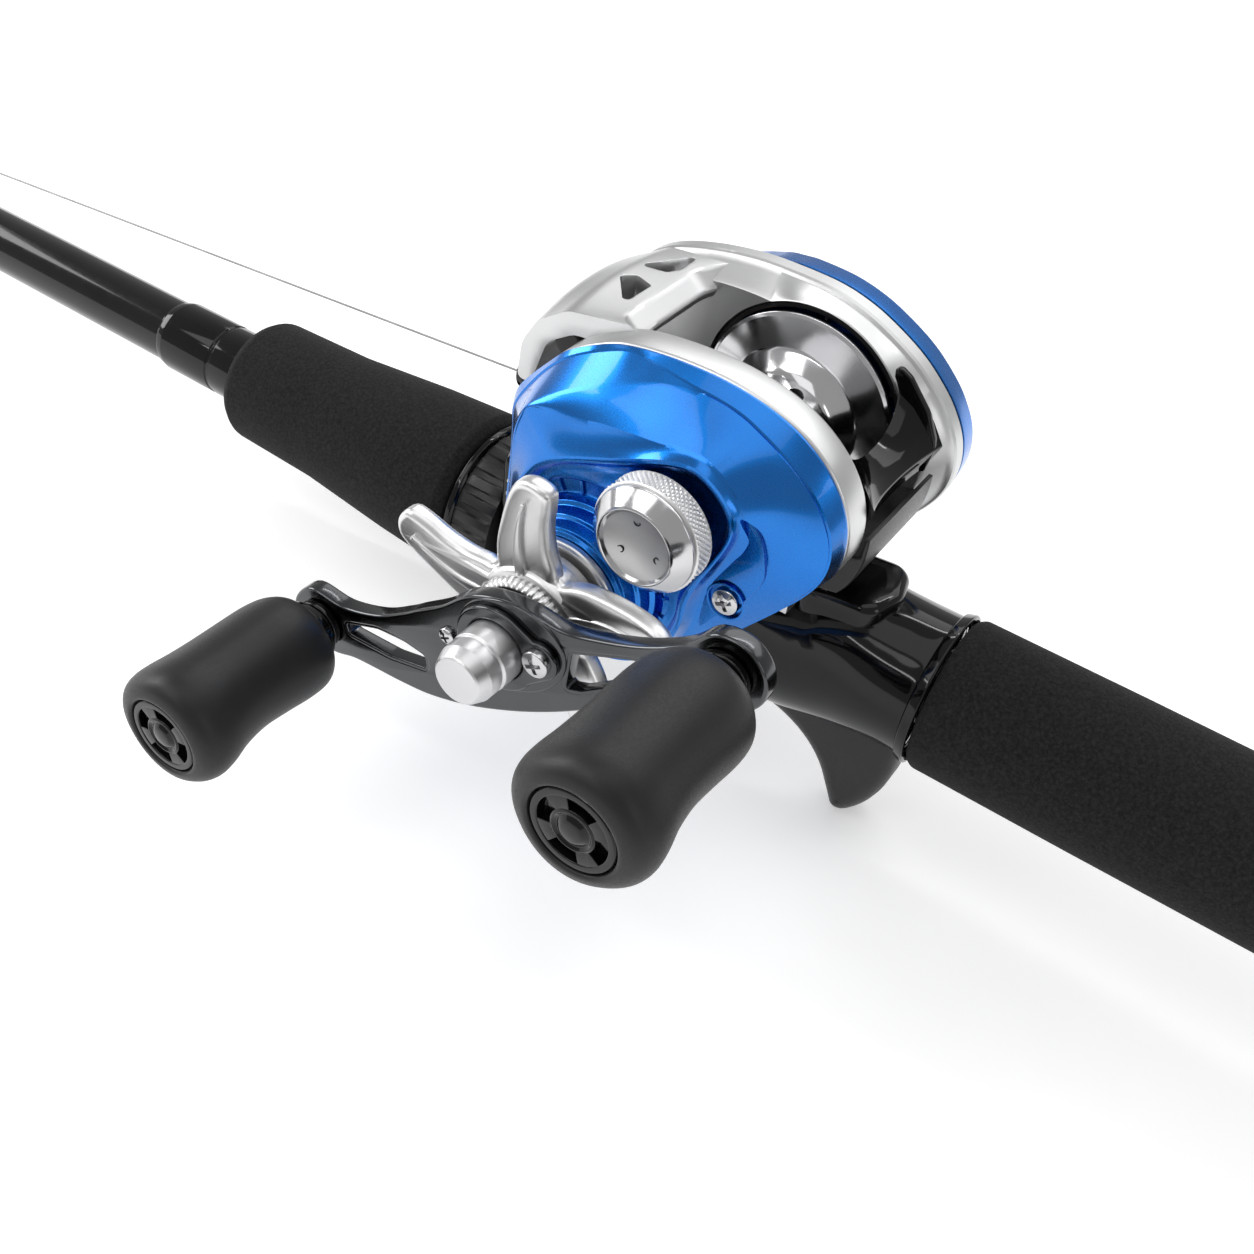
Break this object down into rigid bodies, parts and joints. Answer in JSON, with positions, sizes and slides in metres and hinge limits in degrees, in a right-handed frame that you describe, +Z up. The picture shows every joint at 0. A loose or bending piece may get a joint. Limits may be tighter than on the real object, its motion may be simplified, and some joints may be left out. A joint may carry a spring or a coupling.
{
  "type": "fishing rod and reel",
  "caption": "Telescopic rod, stored collapsed, with foam grips and trigger seat, carrying a low-profile baitcasting reel with a star drag and a twin-knob crank.",
  "frame": {"origin": "centre of the butt cap's flat end face, on the rear grip's axis", "axes": "+X out of the butt along the rod, -X towards the tip, +Z up through the reel, -Y towards the crank"},
  "size_m": [0.5778, 0.1159, 0.0867],
  "materials": {
    "foam": "fine matte foam",
    "gloss_black": "glossy",
    "satin_black": "satin",
    "graphite": "clear-coated",
    "blue": "anodised metallic",
    "silver": "satin",
    "polished": "polished",
    "gunmetal": "dark anodised",
    "steel": "polished",
    "brass": "machined",
    "carbon": "matt",
    "soft_touch": "soft-touch matt",
    "ceramic": "polished",
    "nylon": "moulded",
    "line_grey": "clear-grey"
  },
  "bodies": {
    "rod_handle": {"butt_cap": "satin_black", "rear_grip": "foam", "rear_grip_ring": "polished", "handle_core": "graphite", "reel_seat": "gloss_black", "butt_section": "graphite", "blank_collar": "gloss_black", "rod_guide_1": "gunmetal", "line_reel_to_guide": "line_grey", "line_guides_to_tip": "line_grey", "reel_frame": "silver", "reel_foot": "steel", "guide_bar": "steel", "handle_side_plate": "blue", "handle_plate_screw": "steel", "palm_side_plate": "blue", "palm_plate_screw": "steel", "rear_cover": "satin_black", "spool_bearing_handle_side": "steel", "spool_bearing_palm_side": "steel", "anti_reverse_bearing": "steel", "bearing_cap": "silver"},
    "crank": {"drive_shaft": "steel", "drive_gear": "brass", "level_wind_cog": "nylon", "drag_washer": "carbon", "pressure_plate": "steel", "crank_arm": "gunmetal", "crank_nut": "silver", "nut_retainer": "gunmetal", "retainer_screw": "steel", "knob_post_front": "steel", "knob_post_rear": "steel"},
    "knob_front_grip": {"knob_front": "soft_touch", "knob_cap_front": "gloss_black"},
    "knob_rear_grip": {"knob_rear": "soft_touch", "knob_cap_rear": "gloss_black"},
    "star_wheel": {"star_drag": "silver"},
    "spool_set": {"spool": "polished", "spool_shaft": "steel", "pinion": "brass", "brake_rotor": "nylon"},
    "worm": {"worm_shaft": "steel", "worm_gear": "nylon"},
    "line_guide_carriage": {"line_guide": "satin_black", "line_guide_insert": "ceramic"},
    "thumb_release": {"thumb_bar": "gloss_black"},
    "cast_control": {"tension_knob": "polished"},
    "brake_control": {"brake_dial": "satin_black"},
    "hood": {"sliding_hood": "gloss_black"},
    "lock": {"lock_nut": "satin_black", "fore_grip": "foam"},
    "section_2": {"rod_section_2": "graphite", "rod_guide_2": "gunmetal"},
    "section_3": {"rod_section_3": "graphite", "rod_guide_3": "gunmetal"},
    "section_4": {"rod_section_4": "graphite", "rod_guide_4": "gunmetal"},
    "section_5": {"rod_section_5": "graphite", "tip_top": "gunmetal"}
  },
  "joints": [
    {"name": "crank_turn", "type": "hinge", "parent": "rod_handle", "child": "crank", "pos_m": [-0.2346, 0, 0.0141], "axis": [0, -1, 0], "continuous": true},
    {"name": "spool_turn", "type": "hinge", "parent": "rod_handle", "child": "spool_set", "pos_m": [-0.222, 0, 0.0315], "axis": [0, -1, 0], "continuous": true},
    {"name": "worm_turn", "type": "hinge", "parent": "rod_handle", "child": "worm", "pos_m": [-0.2522, 0, 0.0145], "axis": [0, -1, 0], "continuous": true},
    {"name": "knob_front_spin", "type": "hinge", "parent": "crank", "child": "knob_front_grip", "pos_m": [-0.27111, 0, -0.00309], "axis": [0, -1, 0], "continuous": true},
    {"name": "knob_rear_spin", "type": "hinge", "parent": "crank", "child": "knob_rear_grip", "pos_m": [-0.19809, 0, 0.03129], "axis": [0, -1, 0], "continuous": true},
    {"name": "star_drag_turn", "type": "hinge", "parent": "crank", "child": "star_wheel", "pos_m": [-0.2346, 0, 0.0141], "axis": [0, -1, 0], "range_deg": [0, 270]},
    {"name": "line_guide_travel", "type": "slide", "parent": "rod_handle", "child": "line_guide_carriage", "axis": [0, 1, 0], "range_m": [-0.005, 0.0125], "deforming": ["line_reel_to_guide"]},
    {"name": "thumb_bar_press", "type": "slide", "parent": "rod_handle", "child": "thumb_release", "axis": [0, 0, -1], "range_m": [0, 0.003]},
    {"name": "cast_control_turn", "type": "hinge", "parent": "rod_handle", "child": "cast_control", "pos_m": [-0.222, 0, 0.0315], "axis": [0, -1, 0], "range_deg": [-180, 360]},
    {"name": "brake_dial_turn", "type": "hinge", "parent": "rod_handle", "child": "brake_control", "pos_m": [-0.222, 0, 0.0315], "axis": [0, 1, 0], "range_deg": [0, 270]},
    {"name": "hood_travel", "type": "slide", "parent": "rod_handle", "child": "hood", "axis": [-1, 0, 0], "range_m": [0, 0.0045]},
    {"name": "lock_nut_turn", "type": "hinge", "parent": "hood", "child": "lock", "pos_m": [-0.302, 0, -0.0092], "axis": [-1, 0, 0], "range_deg": [0, 1080]},
    {"name": "section_2_extend", "type": "slide", "parent": "rod_handle", "child": "section_2", "axis": [-1, 0, 0], "range_m": [0, 0.24], "deforming": ["line_guides_to_tip"]},
    {"name": "section_3_extend", "type": "slide", "parent": "section_2", "child": "section_3", "axis": [-1, 0, 0], "range_m": [0, 0.24], "deforming": ["line_guides_to_tip"]},
    {"name": "section_4_extend", "type": "slide", "parent": "section_3", "child": "section_4", "axis": [-1, 0, 0], "range_m": [0, 0.24], "deforming": ["line_guides_to_tip"]},
    {"name": "section_5_extend", "type": "slide", "parent": "section_4", "child": "section_5", "axis": [-1, 0, 0], "range_m": [0, 0.24], "deforming": ["line_guides_to_tip"]}
  ],
  "couplings": [
    {"joint": "spool_turn", "follows": "crank_turn", "ratio": -6.2},
    {"joint": "worm_turn", "follows": "crank_turn", "ratio": -2.5},
    {"joint": "hood_travel", "follows": "lock_nut_turn", "m_per_rad": 0.00023873}
  ]
}
